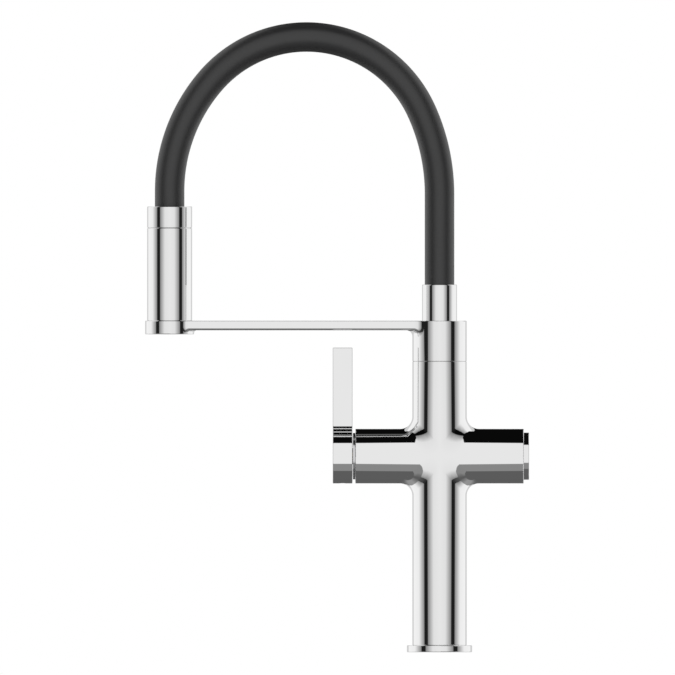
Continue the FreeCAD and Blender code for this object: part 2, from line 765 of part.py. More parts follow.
arm_union = doc.addObject("Part::MultiFuse", "arm_union")
arm_union.Shapes = [
    primitive("Part::Cylinder", "arm_collar", z="swivel_height",
              Radius=POST_RADIUS, Height="collar_height"),
    primitive("Part::Box", "arm_plate", x="-arm_reach", y="-arm_width / 2", z=COLLAR_TOP + " - arm_thickness",
              Length="arm_reach", Width="arm_width", Height="arm_thickness"),
    primitive("Part::Cylinder", "arm_ring", x="-arm_reach", z=RING_FOOT, turn=ABOUT,
              Radius="ring_diameter / 2", Height="ring_height"),
]
arm_union.Refine = True
doc.recompute()


def blend_size(edge):
    # the arm flares into the collar and the ring, and its underside is rounded
    spot = edge.CenterOfMass
    if not (arm_low - NEAR < spot.z < collar_top - NEAR and 1 - reach < spot.x < -1):
        return None
    upright = spot.z > arm_low + NEAR
    if on_cylinder(edge, 0, post_radius):
        return "arm_flare" if upright else "arm_fillet"
    if on_cylinder(edge, -reach, ring_radius):
        return "ring_flare" if upright else "ring_height - arm_thickness - ring_land"
    return "arm_edge"


def flat_outline(edge):
    levels = [corner.Z for corner in edge.Vertexes]
    return any(all(abs(level - wanted) < NEAR for level in levels) for wanted in (collar_top, ring_low))


blends = []
for index, edge in enumerate(arm_union.Shape.Edges, start=1):
    words = blend_size(edge)
    if words:
        blends.append((index, number(words), number(words)))
arm_blank = doc.addObject("Part::Fillet", "arm_blank")
arm_blank.Base = arm_union
arm_blank.Edges = blends
doc.recompute()

arm = new_body("docking_arm")
arm.BaseFeature = arm_blank
round_edges(arm, "edge_round", flat_outline)
round_edges(arm, "seam_round", rims((POST_RADIUS, "swivel_height")))
drill(arm, "spigot_diameter / 2 + swivel_clearance", "spigot_height + spigot_headroom", z="swivel_height")
drill(arm, "nipple_diameter / 2 + loose_gap", "collar_height", z="swivel_height")
drill(arm, DOCK_RADIUS, "ring_height", x="-arm_reach", z=RING_FOOT)
drill(arm, DOCK_RADIUS + " + liner_wall", "ring_height", x="-arm_reach", z=RING_FOOT + " + dock_ledge")
drill(arm, "grub_diameter / 2 + loose_gap", POST_RADIUS, z="swivel_height + screw_rise", turn=BACK)

SCREW_SHOULDER = "spigot_diameter / 2 + running_gap"
SCREW_HEAD = "post_diameter / 2 - screw_recess"
turned("arm_grub_screw", [
    ("0", SCREW_SHOULDER + " - screw_groove_depth"),
    ("screw_tip_diameter / 2", SCREW_SHOULDER + " - screw_groove_depth"),
    ("screw_tip_diameter / 2", SCREW_SHOULDER),
    ("grub_diameter / 2", SCREW_SHOULDER),
    ("grub_diameter / 2", SCREW_HEAD),
    ("key_diameter / 2", SCREW_HEAD),
    ("key_diameter / 2", SCREW_HEAD + " - key_depth"),
    ("0", SCREW_HEAD + " - key_depth"),
], z="swivel_height + screw_rise", turn=BACK)

turned("dock_liner", [
    (DOCK_RADIUS, RING_FOOT + " + dock_ledge"),
    (DOCK_RADIUS + " + liner_wall - snug_gap", RING_FOOT + " + dock_ledge"),
    (DOCK_RADIUS + " + liner_wall - snug_gap", COLLAR_TOP + " - liner_sink"),
    (DOCK_RADIUS, COLLAR_TOP + " - liner_sink"),
], x="-arm_reach")


def hose_tail(level):
    # shoulder, barbs that hold the water hose, and the bore
    root = "tail_diameter / 2 - barb_depth"
    corners = [
        ("hose_diameter / 2 - shoulder_inset", level + " - tail_shoulder"),
        ("hose_diameter / 2 - shoulder_inset", level),
        (root, level),
    ]
    for barb in range(round(number("barb_count"))):
        foot = "%s + barb_start + %d * barb_pitch" % (level, barb)
        corners.append((root, foot))
        corners.append(("tail_diameter / 2", foot))
    corners.append((root, level + " + barb_start + barb_count * barb_pitch"))
    corners.append((root, level + " + tail_length"))
    corners.append(("tail_bore / 2", level + " + tail_length"))
    return corners


# Hose: nipple and ferrule on the collar, black sleeve over the water hose, fitting in the spray
turned("hose_nipple", [
    ("tail_bore / 2", SPIGOT_TOP + " + spigot_headroom"),
    ("nipple_diameter / 2", SPIGOT_TOP + " + spigot_headroom"),
    ("nipple_diameter / 2", COLLAR_TOP),
] + hose_tail(HOSE_START))

ferrule = turned("hose_ferrule", [
    ("hose_diameter / 2 + hose_grip", COLLAR_TOP),
    ("ferrule_diameter / 2", COLLAR_TOP),
    ("ferrule_diameter / 2", COLLAR_TOP + " + ferrule_height"),
    ("hose_diameter / 2 + hose_grip", COLLAR_TOP + " + ferrule_height"),
])
round_edges(ferrule, "edge_round", rims(("ferrule_diameter / 2", COLLAR_TOP + " + ferrule_height")))


def route(body):
    # straight rise, three arcs that run into one another, straight drop into the spray
    half = reach / 2
    shift = number("hose_crown_shift")
    crown = number("arm_reach / 2 - hose_crown_ease")
    right = number("arm_reach / 2 + hose_right_ease")
    left = number("arm_reach / 2 + hose_left_ease")
    right_turn = math.acos((right - half + shift) / (right - crown))
    left_turn = math.acos((left - half - shift) / (left - crown))
    left_level = number(SPRAY_TOP + " + hose_left_leg")
    crown_level = left_level + (left - crown) * math.sin(left_turn)
    right_level = crown_level - (right - crown) * math.sin(right_turn)

    def spot(x, level):
        return FreeCAD.Vector(x, level, 0)

    sketch = new_sketch(body, "XZ_Plane")
    sketch.addGeometry(Part.LineSegment(spot(0, number(HOSE_START)), spot(0, right_level)))
    for centre, radius, start, finish in (
            (spot(-right, right_level), right, 0, right_turn),
            (spot(shift - half, crown_level), crown, right_turn, math.pi - left_turn),
            (spot(left - reach, left_level), left, math.pi - left_turn, math.pi)):
        circle = Part.Circle(centre, FreeCAD.Vector(0, 0, 1), radius)
        sketch.addGeometry(Part.ArcOfCircle(circle, start, finish))
    sketch.addGeometry(Part.LineSegment(spot(-reach, left_level), spot(-reach, number(HOSE_END))))
    for stretch in range(4):
        sketch.addConstraint(Sketcher.Constraint("Tangent", stretch, 2, stretch + 1, 1))
    for stretch, radius in ((1, "arm_reach / 2 + hose_right_ease"),
                            (2, "arm_reach / 2 - hose_crown_ease"),
                            (3, "arm_reach / 2 + hose_left_ease")):
        index = sketch.addConstraint(Sketcher.Constraint("Radius", stretch, number(radius)))
        sketch.setExpression("Constraints[%d]" % index, bound(radius))
    hold(sketch, 0, 1, x="0", y=HOSE_START)
    hold(sketch, 0, 2, x="0")
    hold(sketch, 2, 3, x="hose_crown_shift - arm_reach / 2")
    hold(sketch, 4, 1, x="-arm_reach", y=SPRAY_TOP + " + hose_left_leg")
    hold(sketch, 4, 2, x="-arm_reach", y=HOSE_END)
    return sketch


def hose(label, outer, inner):
    body = new_body(label)
    path = route(body)
    section = circles(body, "XY_Plane", [outer, inner], lift=HOSE_START)
    pipe = body.newObject("PartDesign::AdditivePipe", label + "_pipe")
    pipe.Profile = section
    pipe.Spine = path


hose("hose_sleeve", "hose_diameter", "hose_diameter - 2 * sleeve_wall")
hose("water_hose", "hose_inner_diameter", "hose_bore")

STEM_FOOT = "(swivel_height + collar_height + shell_height + spray_groove - stem_length)"
turned("hose_end_fitting", [
    ("tail_bore / 2", STEM_FOOT),
    ("stem_flange_diameter / 2", STEM_FOOT),
    ("stem_flange_diameter / 2", STEM_FOOT + " + stem_flange"),
    ("stem_diameter / 2", STEM_FOOT + " + stem_flange"),
    ("stem_diameter / 2", SPRAY_COLLAR + " + collar_floor"),
] + hose_tail(HOSE_END), x="-arm_reach")

spray_collar = turned("spray_collar", [
    ("stem_diameter / 2 + loose_gap", SPRAY_COLLAR),
    ("spray_diameter / 2", SPRAY_COLLAR),
    ("spray_diameter / 2", SPRAY_TOP),
    ("hose_diameter / 2 + hose_grip", SPRAY_TOP),
    ("hose_diameter / 2 + hose_grip", SPRAY_COLLAR + " + collar_floor"),
    ("stem_diameter / 2 + loose_gap", SPRAY_COLLAR + " + collar_floor"),
], x="-arm_reach")
round_edges(spray_collar, "edge_round",
            rims(("spray_diameter / 2", SPRAY_TOP), ("spray_diameter / 2", SPRAY_COLLAR)))

# Hand spray, from the shell down to the nozzle face
BORE_RADIUS = "(spray_diameter / 2 - spray_wall)"
NUT_FOOT = "(%s + stem_flange + running_gap)" % STEM_FOOT
NOSE_FOOT = "(%s + nose_rise)" % RING_FOOT
NOSE_TOP = "(%s + nose_rise + nose_length)" % RING_FOOT
NOSE_RADIUS = "(%s - nose_clearance)" % DOCK_RADIUS

spray_shell = turned("spray_shell", [
    (BORE_RADIUS, COLLAR_TOP),
    ("spray_diameter / 2", COLLAR_TOP),
    ("spray_diameter / 2", SHELL_TOP),
    ("nut_diameter / 2 + snug_gap", SHELL_TOP),
    ("nut_diameter / 2 + snug_gap", SHELL_TOP + " - shell_roof"),
    (BORE_RADIUS, SHELL_TOP + " - shell_roof"),
], x="-arm_reach")
round_edges(spray_shell, "edge_round",
            rims(("spray_diameter / 2", SHELL_TOP), ("spray_diameter / 2", COLLAR_TOP)))

turned("slip_ring", [
    ("nut_diameter / 2 + running_gap", SHELL_TOP),
    ("spray_diameter / 2 - slip_inset", SHELL_TOP),
    ("spray_diameter / 2 - slip_inset", SPRAY_COLLAR),
    ("nut_diameter / 2 + running_gap", SPRAY_COLLAR),
], x="-arm_reach")

turned("swivel_nut", [
    ("stem_diameter / 2 + running_gap", NUT_FOOT),
    (BORE_RADIUS + " - nut_relief", NUT_FOOT),
    (BORE_RADIUS + " - nut_relief", SHELL_TOP + " - shell_roof"),
    ("nut_diameter / 2", SHELL_TOP + " - shell_roof"),
    ("nut_diameter / 2", SHELL_TOP + " - nut_sink"),
    ("stem_diameter / 2 + running_gap", SHELL_TOP + " - nut_sink"),
], x="-arm_reach")

VALVE_POCKET = "check_valve_diameter / 2 + loose_gap"
turned("spray_core", [
    ("core_bore / 2", NOSE_TOP),
    (BORE_RADIUS + " - loose_gap", NOSE_TOP),
    (BORE_RADIUS + " - loose_gap", NUT_FOOT),
    ("stem_flange_diameter / 2 + stem_play", NUT_FOOT),
    ("stem_flange_diameter / 2 + stem_play", NUT_FOOT + " - core_pocket"),
    (VALVE_POCKET, NUT_FOOT + " - core_pocket"),
    (VALVE_POCKET, NOSE_TOP + " + core_floor"),
    ("core_bore / 2", NOSE_TOP + " + core_floor"),
], x="-arm_reach")

turned("check_valve", [
    ("check_valve_bore / 2", NOSE_TOP + " + core_floor"),
    ("check_valve_diameter / 2", NOSE_TOP + " + core_floor"),
    ("check_valve_diameter / 2", NOSE_TOP + " + core_floor + check_valve_length"),
    ("check_valve_bore / 2", NOSE_TOP + " + core_floor + check_valve_length"),
], x="-arm_reach")

FACE_FOOT = "(%s + face_recess)" % NOSE_FOOT
FACE_TOP = "(%s + face_recess + face_thickness)" % NOSE_FOOT
FLOW_TOP = "(%s + face_recess + face_thickness + flow_disc_thickness)" % NOSE_FOOT
FACE_RADIUS = "(%s - nose_wall - snug_gap)" % NOSE_RADIUS
turned("spray_nose", [
    (NOSE_RADIUS + " - nose_wall", NOSE_FOOT),
    (NOSE_RADIUS, NOSE_FOOT),
    (NOSE_RADIUS, NOSE_FOOT + " + nose_neck"),
    (BORE_RADIUS + " - loose_gap", NOSE_FOOT + " + nose_neck"),
    (BORE_RADIUS + " - loose_gap", NOSE_TOP),
    (NOSE_RADIUS + " - nose_wall - nose_ledge", NOSE_TOP),
    (NOSE_RADIUS + " - nose_wall - nose_ledge", FLOW_TOP),
    (NOSE_RADIUS + " - nose_wall", FLOW_TOP),
], x="-arm_reach")

turned("flow_disc", [
    ("flow_hole / 2", FACE_TOP),
    (FACE_RADIUS, FACE_TOP),
    (FACE_RADIUS, FLOW_TOP),
    ("flow_hole / 2", FLOW_TOP),
], x="-arm_reach")

face = turned("spray_face", [
    ("0", FACE_FOOT),
    (FACE_RADIUS, FACE_FOOT),
    (FACE_RADIUS, FACE_TOP),
    ("0", FACE_TOP),
], x="-arm_reach")
for count, ring in ((6, "inner_nozzle_ring / 2"), (12, "outer_nozzle_ring / 2")):
    nozzle = cylinder(face, "nozzle_diameter / 2", "nozzle_drop + nozzle_root",
                      x=ring, z=FACE_FOOT + " - nozzle_drop")
    doc.recompute()
    circle_of = face.newObject("PartDesign::PolarPattern", "spray_face_nozzles")
    circle_of.Originals = [nozzle]
    axis = [item for item in face.Origin.OriginFeatures if item.Role == "Z_Axis"][0]
    circle_of.Axis = (axis, [""])
    circle_of.Angle = 360
    circle_of.Occurrences = count
    face.Tip = circle_of

# Every object is checked before any file is written
doc.recompute()
for item in doc.Objects:
    if "Invalid" in item.State or "Error" in item.State:
        raise ValueError("%s did not build" % item.Label)
for piece in pieces:
    if piece.Shape.isNull() or not piece.Shape.isValid():
        raise ValueError("%s has no valid shape" % piece.Label)
    piece.Shape.exportStep("parts/%s.step" % piece.Label)
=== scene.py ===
import math

import bpy
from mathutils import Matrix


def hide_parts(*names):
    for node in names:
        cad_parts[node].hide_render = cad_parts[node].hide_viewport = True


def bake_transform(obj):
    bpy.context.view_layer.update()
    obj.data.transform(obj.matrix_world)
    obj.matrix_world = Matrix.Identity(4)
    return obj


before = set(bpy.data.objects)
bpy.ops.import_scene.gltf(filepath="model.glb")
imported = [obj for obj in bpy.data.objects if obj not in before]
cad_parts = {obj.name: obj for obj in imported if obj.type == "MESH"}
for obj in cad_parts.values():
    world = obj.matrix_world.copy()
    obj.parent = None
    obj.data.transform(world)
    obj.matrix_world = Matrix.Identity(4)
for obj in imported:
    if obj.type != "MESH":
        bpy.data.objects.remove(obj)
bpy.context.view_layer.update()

# The foot: a turned brass ring, polished and chromium plated, stands on the worktop.
# A black rubber gasket in a groove under it keeps water out of the tap hole.
GRAIN_DETAIL = 6.0
GRAIN_LOW = 0.3
GRAIN_HIGH = 0.7
CLOUD_SCALE = 18.0
CLOUD_DETAIL = 3.0


def add_node(tree, kind, inputs=(), **settings):
    """Add a node, set its own options and fill its inputs with values or links."""
    node = tree.nodes.new(kind)
    for option, value in settings.items():
        setattr(node, option, value)
    for socket, value in dict(inputs).items():
        if isinstance(value, bpy.types.NodeSocket):
            tree.links.new(value, node.inputs[socket])
        else:
            node.inputs[socket].default_value = value
    return node


def finish(name, dark, light, metallic, roughness, grain, relief, stretch=(1, 1, 1)):
    """A surface whose colour, gloss and fine relief vary over a grain that may be drawn out one way."""
    material = bpy.data.materials.new(name)
    material.use_nodes = True
    tree = material.node_tree
    shader = tree.nodes["Principled BSDF"]
    shader.inputs["Metallic"].default_value = metallic
    place = add_node(tree, "ShaderNodeTexCoord").outputs["Object"]
    drawn = add_node(tree, "ShaderNodeMapping", {"Vector": place, "Scale": stretch}).outputs[0]
    speck = add_node(tree, "ShaderNodeTexNoise", {"Vector": drawn, "Scale": grain, "Detail": GRAIN_DETAIL})
    cloud = add_node(tree, "ShaderNodeTexNoise", {
        "Vector": place, "Scale": CLOUD_SCALE, "Detail": CLOUD_DETAIL})
    tone = add_node(tree, "ShaderNodeMix", {
        "Factor": cloud.outputs["Fac"], "A": (*dark, 1), "B": (*light, 1)}, data_type="RGBA")
    tree.links.new(tone.outputs["Result"], shader.inputs["Base Color"])
    gloss = add_node(tree, "ShaderNodeMapRange", {
        "Value": speck.outputs["Fac"], "From Min": GRAIN_LOW, "From Max": GRAIN_HIGH,
        "To Min": roughness[0], "To Max": roughness[1]})
    tree.links.new(gloss.outputs["Result"], shader.inputs["Roughness"])
    bump = add_node(tree, "ShaderNodeBump", {
        "Height": speck.outputs["Fac"], "Strength": 1.0, "Distance": relief})
    tree.links.new(bump.outputs["Normal"], shader.inputs["Normal"])
    return material


def dress(material, *nodes):
    """Give the finish to each material slot of the named nodes."""
    for node in nodes:
        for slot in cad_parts[node].material_slots:
            slot.material = material


chrome = finish("polished_chrome", (0.89, 0.89, 0.89), (0.91, 0.91, 0.91), metallic=1,
                roughness=(0.012, 0.03), grain=900, relief=0.0000002)
seal_rubber = finish("seal_rubber", (0.022, 0.022, 0.022), (0.034, 0.033, 0.033), metallic=0,
                     roughness=(0.6, 0.75), grain=1400, relief=0.00002)
dress(chrome, "base_ring")
dress(seal_rubber, "base_gasket")

# The body: post and crossbar are one brass casting with blended corners, polished and plated.
# It is bolted down through the inlet block at its foot.
dress(chrome, "mixer_body")

# The inlet block: a machined brass disc at the foot, with drillings for the two supply tails.
# Two copper tubes are soldered into it and carry the hot and cold water up to the cartridge.
brass = finish("machined_brass", (0.72, 0.55, 0.26), (0.82, 0.66, 0.36), metallic=1,
               roughness=(0.22, 0.38), grain=700, relief=0.000004, stretch=(1, 1, 6))
copper = finish("drawn_copper", (0.74, 0.38, 0.24), (0.86, 0.50, 0.35), metallic=1,
                roughness=(0.24, 0.4), grain=900, relief=0.000003, stretch=(1, 1, 0.05))
dress(brass, "inlet_block")
dress(copper, "hot_riser", "cold_riser")

# The cartridge: two ground ceramic discs in a moulded plastic housing, sealed by a rubber ring.
# A turned nut with a satin plating holds it in the crossbar and shows as a thin rim beside the lever.
white_plastic = finish("moulded_white_plastic", (0.80, 0.80, 0.78), (0.88, 0.88, 0.86), metallic=0,
                       roughness=(0.38, 0.5), grain=1500, relief=0.00001)
ceramic = finish("ground_ceramic", (0.86, 0.84, 0.80), (0.92, 0.90, 0.87), metallic=0,
                 roughness=(0.12, 0.2), grain=2000, relief=0.000001)
nut_chrome = finish("satin_chrome", (0.66, 0.66, 0.67), (0.73, 0.73, 0.74), metallic=1,
                    roughness=(0.16, 0.26), grain=800, relief=0.000002, stretch=(8, 1, 1))
dress(seal_rubber, "cartridge_seal")
dress(white_plastic, "cartridge_base", "cartridge_housing")
dress(ceramic, "fixed_disc", "moving_disc")
dress(nut_chrome, "cartridge_nut")
dress(brass, "cartridge_spindle")

# The lever: a round cap with a flat upright blade, forged in one piece and plated.
# A grub screw under a small plastic plug clamps it to the spindle.
steel = finish("plain_steel", (0.56, 0.56, 0.57), (0.66, 0.66, 0.67), metallic=1,
               roughness=(0.25, 0.4), grain=1200, relief=0.000004, stretch=(6, 6, 1))
black_plastic = finish("moulded_black_plastic", (0.032, 0.032, 0.033), (0.045, 0.045, 0.046), metallic=0,
                       roughness=(0.4, 0.55), grain=1800, relief=0.00001)
dress(chrome, "lever_handle")
dress(steel, "lever_grub_screw")
dress(black_plastic, "lever_plug")

# The push valve: a brass valve in the other end of the crossbar, with a steel stem and a rubber seal.
# The plated button on the stem is pushed back out by a moulded rubber bellows, which folds up behind it.
BAR_HEIGHT = 0.1458
BELLOWS_FOOT = 0.0492
BELLOWS_HEAD = 0.0632
BELLOWS_RADIUS = 0.0125
BELLOWS_WALL = 0.0009
FOLD_COUNT = 3
FOLD_DEPTH = 0.003
FOLD_STEP = 0.0002
TUBE_SIDES = 72


def calculate(tree, operation, *values):
    """The result of one sum, done in the tree on values or links."""
    return add_node(tree, "ShaderNodeMath", enumerate(values), operation=operation).outputs[0]


rubber_tube = bpy.data.node_groups.new("rubber_tube", "GeometryNodeTree")
rubber_tube.interface.new_socket("Line", in_out="INPUT", socket_type="NodeSocketGeometry")
tube_sizes = {size: rubber_tube.interface.new_socket(size, in_out="INPUT", socket_type="NodeSocketFloat")
              for size in ("Radius", "Step", "Folds", "Fold Depth")}
tube_rubber = rubber_tube.interface.new_socket("Rubber", in_out="INPUT", socket_type="NodeSocketMaterial")
rubber_tube.interface.new_socket("Tube", in_out="OUTPUT", socket_type="NodeSocketGeometry")
given = add_node(rubber_tube, "NodeGroupInput").outputs
even = add_node(rubber_tube, "GeometryNodeResampleCurve", {
    "Curve": given["Line"], "Length": given["Step"]}, mode="LENGTH")
along = add_node(rubber_tube, "GeometryNodeSplineParameter").outputs["Factor"]
folds_passed = calculate(rubber_tube, "MULTIPLY", along, given["Folds"])
wave = calculate(rubber_tube, "COSINE", calculate(rubber_tube, "MULTIPLY", folds_passed, math.tau))
half_fold = calculate(rubber_tube, "MULTIPLY", given["Fold Depth"], 0.5)
inset = calculate(rubber_tube, "MULTIPLY_ADD", wave, half_fold, half_fold)
ring = add_node(rubber_tube, "GeometryNodeCurvePrimitiveCircle", {"Resolution": TUBE_SIDES, "Radius": 1.0})
outside = calculate(rubber_tube, "SUBTRACT", given["Radius"], inset)
swept = add_node(rubber_tube, "GeometryNodeCurveToMesh", {
    "Curve": even.outputs[0], "Profile Curve": ring.outputs[0], "Scale": outside})
smooth = add_node(rubber_tube, "GeometryNodeSetShadeSmooth", {"Geometry": swept.outputs[0]})
real = add_node(rubber_tube, "GeometryNodeRealizeInstances", {"Geometry": smooth.outputs[0]})
coated = add_node(rubber_tube, "GeometryNodeSetMaterial", {
    "Geometry": real.outputs[0], "Material": given["Rubber"]})
add_node(rubber_tube, "NodeGroupOutput", {"Tube": coated.outputs[0]})


def bake(piece):
    """The piece's shape with its modifiers, as a plain mesh."""
    evaluated = piece.evaluated_get(bpy.context.evaluated_depsgraph_get())
    return bpy.data.meshes.new_from_object(evaluated)


def mould(name, line, wall, rubber, sizes):
    """A rubber tube along the line, plain or with folds, and with a wall of the given thickness."""
    core = bpy.data.objects.new(name + "_line", line)
    bpy.context.scene.collection.objects.link(core)
    modifier = core.modifiers.new("tube", "NODES")
    modifier.node_group = rubber_tube
    modifier[tube_rubber.identifier] = rubber
    for size, value in sizes.items():
        modifier[tube_sizes[size].identifier] = value
    piece = bpy.data.objects.new(name, bake(core))
    bpy.context.scene.collection.objects.link(piece)
    bpy.data.objects.remove(core)
    thicken = piece.modifiers.new("wall", "SOLIDIFY")
    thicken.thickness = wall
    thicken.offset = -1
    walled = bake(piece)
    piece.modifiers.remove(thicken)
    piece.data = walled
    return piece


bellows_line = bpy.data.curves.new("bellows_line", "CURVE")
bellows_line.dimensions = "3D"
push_axis = bellows_line.splines.new("POLY")
push_axis.points.add(1)
push_axis.points[0].co = (BELLOWS_FOOT, 0, BAR_HEIGHT, 1)
push_axis.points[1].co = (BELLOWS_HEAD, 0, BAR_HEIGHT, 1)
bellows = mould("bellows", bellows_line, BELLOWS_WALL, seal_rubber, {
    "Radius": BELLOWS_RADIUS, "Step": FOLD_STEP, "Folds": FOLD_COUNT, "Fold Depth": FOLD_DEPTH})
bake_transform(bellows)
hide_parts("button_bellows")
dress(brass, "valve_body")
dress(steel, "valve_stem")
dress(seal_rubber, "valve_stem_seal")
dress(chrome, "push_button")

# The swivel: the arm's collar turns on the spigot of the body, on a plastic ring, given a darker metallic
# grey than its own white as painted shade in the seam.
# Two rubber seals close the waterway, and a grub screw at the back keeps the collar on.
dress(seal_rubber, "swivel_seal_lower", "swivel_seal_upper")
# Painted shade: this grey stands in for the shade in the narrow seams where the rings show, not for the
# rings' own pale colour.
shade_darkened_plastic = finish("shade_darkened_plastic", (0.50, 0.50, 0.50), (0.56, 0.56, 0.56), metallic=1,
                        roughness=(0.2, 0.28), grain=1500, relief=0.000002)
dress(shade_darkened_plastic, "glide_ring")
dress(black_plastic, "dock_liner")
dress(chrome, "docking_arm")
dress(steel, "arm_grub_screw")

# The hose: a smooth black silicone sleeve over a rubber water hose, arched from the collar to the spray.
# A plated ferrule presses its foot on to a brass nipple. Two straight ends and three bends make its line.
SILICONE_GLOSS = 1.63
SLEEVE_RADIUS = 0.011
SLEEVE_WALL = 0.0032
WATER_HOSE_RADIUS = 0.0075
WATER_HOSE_WALL = 0.0014
HOSE_FOOT = 0.249
SHOULDER_FOOT = 0.3407
RIGHT_BEND = 0.1496
CROWN_BEND = 0.09404
LEFT_BEND = 0.12565
CROWN_ACROSS = -0.099
REACH = 0.2008
HOSE_END = 0.31945
HOSE_STEP = 0.002
BEND_POINTS = 48


def straight(across, start, end):
    """The ends and handles of an upright run."""
    return [(across, 0, start + (end - start) * share) for share in (0, 1 / 3, 2 / 3, 1)]


def arc(across, height, radius, start, end):
    """The ends and handles of a round bend."""
    reach = 4 / 3 * math.tan(math.radians(end - start) / 4) * radius
    corners = []
    for degrees, pull in ((start, reach), (end, -reach)):
        turn = math.radians(degrees)
        knot = (across + radius * math.cos(turn), 0, height + radius * math.sin(turn))
        handle = (knot[0] - pull * math.sin(turn), 0, knot[2] + pull * math.cos(turn))
        corners.append((knot, handle))
    return [corners[0][0], corners[0][1], corners[1][1], corners[1][0]]


right_step = CROWN_ACROSS + RIGHT_BEND
right_turn = math.acos(right_step / (RIGHT_BEND - CROWN_BEND))
crown_height = SHOULDER_FOOT + right_step * math.tan(right_turn)
left_step = LEFT_BEND - REACH - CROWN_ACROSS
left_turn = math.acos(left_step / (LEFT_BEND - CROWN_BEND))
left_height = crown_height - left_step * math.tan(left_turn)
first_turn = math.degrees(right_turn)
last_turn = 180 - math.degrees(left_turn)
top_turn = (first_turn + last_turn) / 2
hose_runs = [straight(0, HOSE_FOOT, SHOULDER_FOOT),
             arc(-RIGHT_BEND, SHOULDER_FOOT, RIGHT_BEND, 0, first_turn),
             arc(CROWN_ACROSS, crown_height, CROWN_BEND, first_turn, top_turn),
             arc(CROWN_ACROSS, crown_height, CROWN_BEND, top_turn, last_turn),
             arc(LEFT_BEND - REACH, left_height, LEFT_BEND, last_turn, 180),
             straight(-REACH, left_height, HOSE_END)]
hose_line = bpy.data.curves.new("hose_line", "CURVE")
hose_line.dimensions = "3D"
spline = hose_line.splines.new("BEZIER")
spline.resolution_u = BEND_POINTS
spline.bezier_points.add(len(hose_runs))
for point, leaving in zip(spline.bezier_points, hose_runs):
    point.co = leaving[0]
    point.handle_right = leaving[1]
for point, arriving in zip(spline.bezier_points[1:], hose_runs):
    point.co = arriving[3]
    point.handle_left = arriving[2]
spline.bezier_points[0].handle_left = hose_runs[0][0]
spline.bezier_points[-1].handle_right = hose_runs[-1][3]
hose_black = finish("satin_black_silicone", (0.013, 0.013, 0.0135), (0.018, 0.018, 0.0185), metallic=0,
                    roughness=(0.36, 0.44), grain=900, relief=0.000004)
hose_black.node_tree.nodes["Principled BSDF"].inputs["IOR"].default_value = SILICONE_GLOSS
sleeve = mould("hose", hose_line, SLEEVE_WALL, hose_black, {"Radius": SLEEVE_RADIUS, "Step": HOSE_STEP})
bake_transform(sleeve)
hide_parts("hose_sleeve")
inner_hose = mould("inner_hose", hose_line, WATER_HOSE_WALL, seal_rubber, {
    "Radius": WATER_HOSE_RADIUS, "Step": HOSE_STEP})
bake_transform(inner_hose)
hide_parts("water_hose")
dress(brass, "hose_nipple", "hose_end_fitting")
dress(chrome, "hose_ferrule", "spray_collar")

# The hand spray: a plated shell on a plastic core, which turns on the hose end's swivel nut.
# Its black nose sits in the dock, and soft silicone nozzles and a steel flow disc form the jet.
silicone = finish("nozzle_silicone", (0.31, 0.32, 0.33), (0.39, 0.40, 0.41), metallic=0,
                  roughness=(0.42, 0.55), grain=1500, relief=0.000008)
dress(chrome, "spray_shell")
dress(brass, "swivel_nut")
# The slip ring shows only in the spray's seam, so it gets the same darker grey as painted shade.
dress(shade_darkened_plastic, "slip_ring")
dress(white_plastic, "spray_core", "check_valve")
dress(black_plastic, "spray_nose")
dress(silicone, "spray_face")
dress(steel, "flow_disc")

# The studio: a pale cloth tent round the tap, with no roof and a dark gap at each front corner.
# Its foot and the floor under it are greyer. Polished metal shows the tent in its reflections,
# and everything else is lit by plain even white.
CHROME_SHARE = 0.9
FLOOR_GREY = 91
ROOF_GREY = 9
BACK = 180
OVERHEAD = 90
EDGE_SOFTNESS = 1.0


def level(grey):
    """The light that shows as this grey, of 255, in polished chrome, with the screen's curve undone."""
    share = grey / 255
    return ((share + 0.055) / 1.055) ** 2.4 / CHROME_SHARE


world = bpy.data.worlds.new("studio")
bpy.context.scene.world = world
world.use_nodes = True
world.cycles.sampling_method = "NONE"
room = world.node_tree
room.nodes.clear()


def graded(angle, low, high, stops):
    """A value that passes from one stop to the next over a span of angles."""
    share = add_node(room, "ShaderNodeMapRange", {"Value": angle, "From Min": low, "From Max": high})
    ramp = add_node(room, "ShaderNodeValToRGB", {"Fac": share.outputs["Result"]})
    elements = ramp.color_ramp.elements
    elements.remove(elements[1])
    for index, (degrees, value) in enumerate(stops):
        position = (degrees - low) / (high - low)
        element = elements.new(position) if index else elements[0]
        element.position = position
        element.color = (value, value, value, 1)
    return ramp.outputs["Color"]


direction = add_node(room, "ShaderNodeTexCoord").outputs["Generated"]
split = add_node(room, "ShaderNodeSeparateXYZ", {"Vector": direction})
sideways, backwards, upwards = split.outputs
forwards = calculate(room, "MULTIPLY", backwards, -1.0)
bearing = calculate(room, "ARCTAN2", sideways, forwards)
around = calculate(room, "ABSOLUTE", calculate(room, "DEGREES", bearing))
elevation = calculate(room, "DEGREES", calculate(room, "ARCSINE", upwards))
depression = calculate(room, "MULTIPLY", elevation, -1.0)


def cloth(*stops):
    """The greys of a strip of the tent, from straight ahead round to the back."""
    return graded(around, 0, BACK, [(degrees, level(grey)) for degrees, grey in stops])


def hem(*stops):
    """How far above or below the tap an edge of the tent stands, from straight ahead round to the back."""
    share = graded(around, 0, BACK, [(degrees, height / OVERHEAD) for degrees, height in stops])
    return calculate(room, "MULTIPLY", share, OVERHEAD)


def past(angle, edge):
    """Nought on the near side of an edge and one on the far side, with a soft line between."""
    distance = calculate(room, "SUBTRACT", angle, edge)
    step = add_node(room, "ShaderNodeMapRange", {
        "Value": distance, "From Min": -EDGE_SOFTNESS, "From Max": EDGE_SOFTNESS})
    return step.outputs["Result"]


def blend_greys(factor, first, second):
    """The first grey where the factor is nought, and the second where it is one."""
    mix = add_node(room, "ShaderNodeMix", {"Factor": factor, "A": first, "B": second}, data_type="FLOAT")
    return mix.outputs["Result"]


